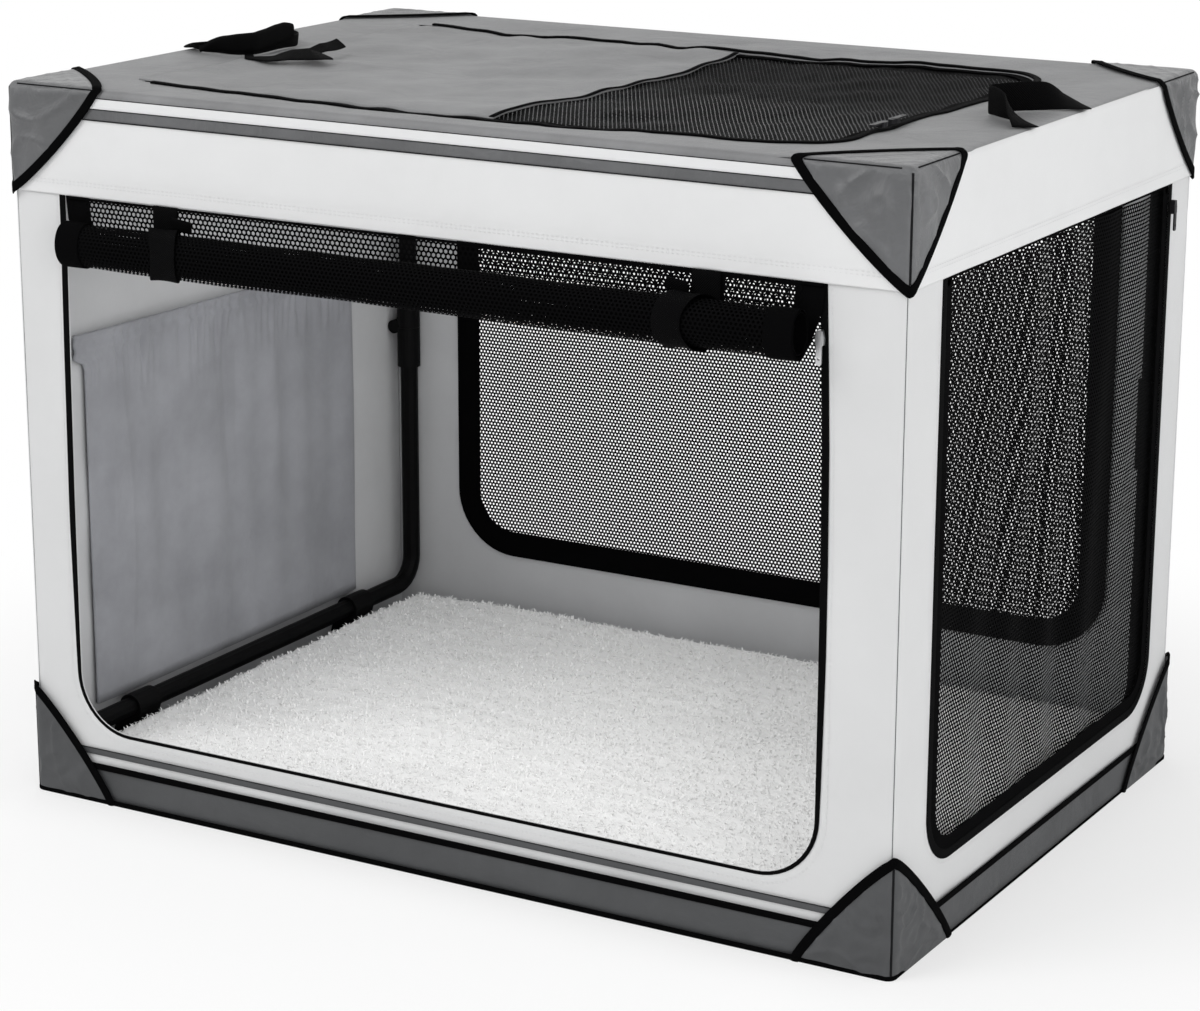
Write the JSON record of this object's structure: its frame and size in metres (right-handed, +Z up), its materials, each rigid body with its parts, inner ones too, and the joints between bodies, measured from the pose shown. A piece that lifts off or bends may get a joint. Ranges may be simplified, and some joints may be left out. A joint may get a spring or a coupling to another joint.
{
  "type": "soft folding dog crate",
  "caption": "Soft-sided folding dog crate: cloth cover and net doors over a tube frame with knee-jointed posts, rolled-up front door, roof flap and carrying handles.",
  "frame": {"origin": "middle of the tub's underside, on the floor", "axes": "+X to the right along the front, +Y to the back, +Z up"},
  "size_m": [0.9166, 0.6837, 0.7185],
  "materials": {
    "pale_cloth": "pale grey-white coated oxford cloth",
    "grey_cloth": "mid grey oxford cloth",
    "gusset_cloth": "grey coated oxford cloth with a soft sheen",
    "dark_grey_cloth": "dark grey coated oxford cloth",
    "lining_cloth": "bluish grey lining cloth",
    "black_net": "black knitted net",
    "black_webbing": "black woven webbing and binding tape",
    "white_fleece": "white short-pile fleece",
    "black_tube": "black powder-coated steel tube",
    "black_plastic": "black moulded nylon",
    "slider_metal": "plated zip slider"
  },
  "bodies": {
    "base": {"tub": "dark_grey_cloth", "base_ring": "black_tube", "base_saddle_left_front": "black_plastic", "base_saddle_left_back": "black_plastic", "base_saddle_right_front": "black_plastic", "base_saddle_right_back": "black_plastic", "fleece_mat": "white_fleece", "bottom_gusset_left_front": "dark_grey_cloth", "bottom_gusset_left_back": "dark_grey_cloth", "bottom_gusset_right_front": "dark_grey_cloth", "bottom_gusset_right_back": "dark_grey_cloth", "front_wall": "pale_cloth", "back_wall": "pale_cloth", "left_wall": "pale_cloth", "right_wall": "pale_cloth", "back_net": "black_net", "back_binding": "black_webbing", "wall_pocket": "lining_cloth", "front_zip": "black_webbing", "side_zip": "black_webbing"},
    "left_lower": {"left_lower_frame": "black_tube", "left_knee_front": "black_plastic", "left_knee_back": "black_plastic"},
    "left_upper": {"left_upper_frame": "black_tube", "left_tongue_front": "black_plastic", "left_tongue_back": "black_plastic"},
    "right_lower": {"right_lower_frame": "black_tube", "right_knee_front": "black_plastic", "right_knee_back": "black_plastic"},
    "right_upper": {"right_upper_frame": "black_tube", "right_tongue_front": "black_plastic", "right_tongue_back": "black_plastic"},
    "roof": {"top_ring": "black_tube", "top_saddle_left_front": "black_plastic", "top_saddle_left_back": "black_plastic", "top_saddle_right_front": "black_plastic", "top_saddle_right_back": "black_plastic", "roof_panel": "grey_cloth", "upper_band": "pale_cloth", "top_gusset_left_front": "gusset_cloth", "top_gusset_left_back": "gusset_cloth", "top_gusset_right_front": "gusset_cloth", "top_gusset_right_back": "gusset_cloth", "roof_zip": "black_webbing"},
    "front_roll": {"front_door_roll": "black_net", "roll_strap_left": "black_webbing", "roll_strap_right": "black_webbing"},
    "side_door": {"side_door_net": "black_net", "side_door_binding": "black_webbing"},
    "roof_door": {"roof_door_net": "black_net", "roof_door_cover": "grey_cloth"},
    "left_handle": {"left_handle": "black_webbing", "left_grip": "black_webbing"},
    "right_handle": {"right_handle": "black_webbing"},
    "front_slider": {"front_zip_slider": "slider_metal"},
    "side_slider": {"side_zip_slider": "slider_metal"},
    "roof_slider_front": {"roof_zip_slider_front": "slider_metal"},
    "roof_slider_back": {"roof_zip_slider_back": "slider_metal"}
  },
  "joints": [
    {"name": "frame_fold", "type": "hinge", "parent": "base", "child": "left_lower", "pos_m": [-0.4299, 0, 0.0548], "axis": [0, 1, 0], "range_deg": [0, 90], "deforming": ["front_wall", "back_wall", "left_wall", "right_wall", "back_net", "back_binding", "wall_pocket", "front_zip", "side_zip", "side_door_net", "side_door_binding", "front_zip_slider", "side_zip_slider", "bottom_gusset_left_front", "bottom_gusset_left_back", "bottom_gusset_right_front", "bottom_gusset_right_back"]},
    {"name": "left_knee", "type": "hinge", "parent": "left_lower", "child": "left_upper", "pos_m": [-0.4434, 0, 0.3441], "axis": [0, 1, 0], "range_deg": [-180, 0]},
    {"name": "roof_level", "type": "hinge", "parent": "left_upper", "child": "roof", "pos_m": [-0.4299, 0, 0.6334], "axis": [0, 1, 0], "range_deg": [0, 90]},
    {"name": "right_post", "type": "hinge", "parent": "base", "child": "right_lower", "pos_m": [0.4299, 0, 0.0548], "axis": [0, 1, 0], "range_deg": [-90, 0]},
    {"name": "right_knee", "type": "hinge", "parent": "right_lower", "child": "right_upper", "pos_m": [0.4434, 0, 0.3441], "axis": [0, 1, 0], "range_deg": [0, 180]},
    {"name": "front_roll_swing", "type": "hinge", "parent": "roof", "child": "front_roll", "pos_m": [0, -0.3182, 0.5905], "axis": [-1, 0, 0], "range_deg": [0, 60]},
    {"name": "side_door_hinge", "type": "hinge", "parent": "base", "child": "side_door", "pos_m": [0.4534, 0, 0.588], "axis": [0, 1, 0], "range_deg": [-105, 0]},
    {"name": "roof_door_hinge", "type": "hinge", "parent": "roof", "child": "roof_door", "pos_m": [-0.359, 0, 0.68745], "axis": [0, 1, 0], "range_deg": [-100, 0]},
    {"name": "left_handle_lift", "type": "hinge", "parent": "roof", "child": "left_handle", "pos_m": [-0.4552, -0.02, 0.6885], "axis": [0, 1, 0], "range_deg": [-170, 0]},
    {"name": "right_handle_lift", "type": "hinge", "parent": "roof", "child": "right_handle", "pos_m": [0.4552, -0.02, 0.6885], "axis": [0, -1, 0], "range_deg": [-170, 0]},
    {"name": "front_slider_run", "type": "slide", "parent": "base", "child": "front_slider", "axis": [0, 0, 1], "range_m": [-0.38, 0]},
    {"name": "side_slider_run", "type": "slide", "parent": "base", "child": "side_slider", "axis": [0, 0, 1], "range_m": [-0.4, 0]},
    {"name": "roof_slider_front_run", "type": "slide", "parent": "roof", "child": "roof_slider_front", "axis": [0, 1, 0], "range_m": [-0.02, 0]},
    {"name": "roof_slider_back_run", "type": "slide", "parent": "roof", "child": "roof_slider_back", "axis": [0, -1, 0], "range_m": [-0.27, 0]}
  ],
  "couplings": [
    {"joint": "left_knee", "follows": "frame_fold", "ratio": -2},
    {"joint": "roof_level", "follows": "frame_fold", "ratio": 1},
    {"joint": "right_post", "follows": "frame_fold", "ratio": -1},
    {"joint": "right_knee", "follows": "frame_fold", "ratio": 2},
    {"joint": "front_roll_swing", "follows": "frame_fold", "ratio": 0.6666}
  ]
}
